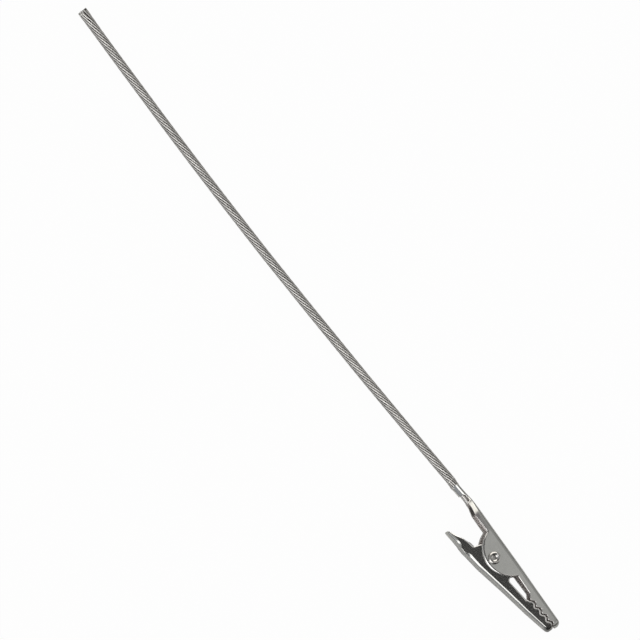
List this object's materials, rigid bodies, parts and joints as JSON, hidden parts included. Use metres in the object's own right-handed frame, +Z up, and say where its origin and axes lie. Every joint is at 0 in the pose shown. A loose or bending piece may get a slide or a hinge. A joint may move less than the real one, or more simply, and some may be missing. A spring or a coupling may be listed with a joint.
{
  "type": "alligator clip lead",
  "caption": "Bare steel alligator clip with toothed sprung jaws, crimped on a stiff bare stranded steel lead with a cut far end.",
  "frame": {"origin": "under the middle of the clip's bounding box without the lead, on the table that the rivet's factory head stands on", "axes": "+X along the clip to the jaw tips, +Y to the back of the fixed jaw, +Z up along the rivet to its rolled head"},
  "size_m": [0.2239, 0.012, 0.0097],
  "materials": {
    "plated_steel": "gloss",
    "rivet_steel": "polished",
    "spring_steel": "satin",
    "strand_steel": "satin"
  },
  "bodies": {
    "clip_frame": {"fixed_jaw": "plated_steel", "pivot_rivet": "rivet_steel", "torsion_spring": "spring_steel", "crimped_wire_end": "strand_steel", "lead_wire": "strand_steel"},
    "lower_jaw": {"moving_jaw": "plated_steel"}
  },
  "joints": [
    {"name": "jaw_open", "type": "hinge", "parent": "clip_frame", "child": "lower_jaw", "pos_m": [-0.00075, 0.00073, 0.00485], "axis": [0, 0, -1], "range_deg": [0, 32], "stiffness_Nm_per_rad": 0.06, "springref_deg": -34.38, "deforming": ["torsion_spring"]}
  ]
}
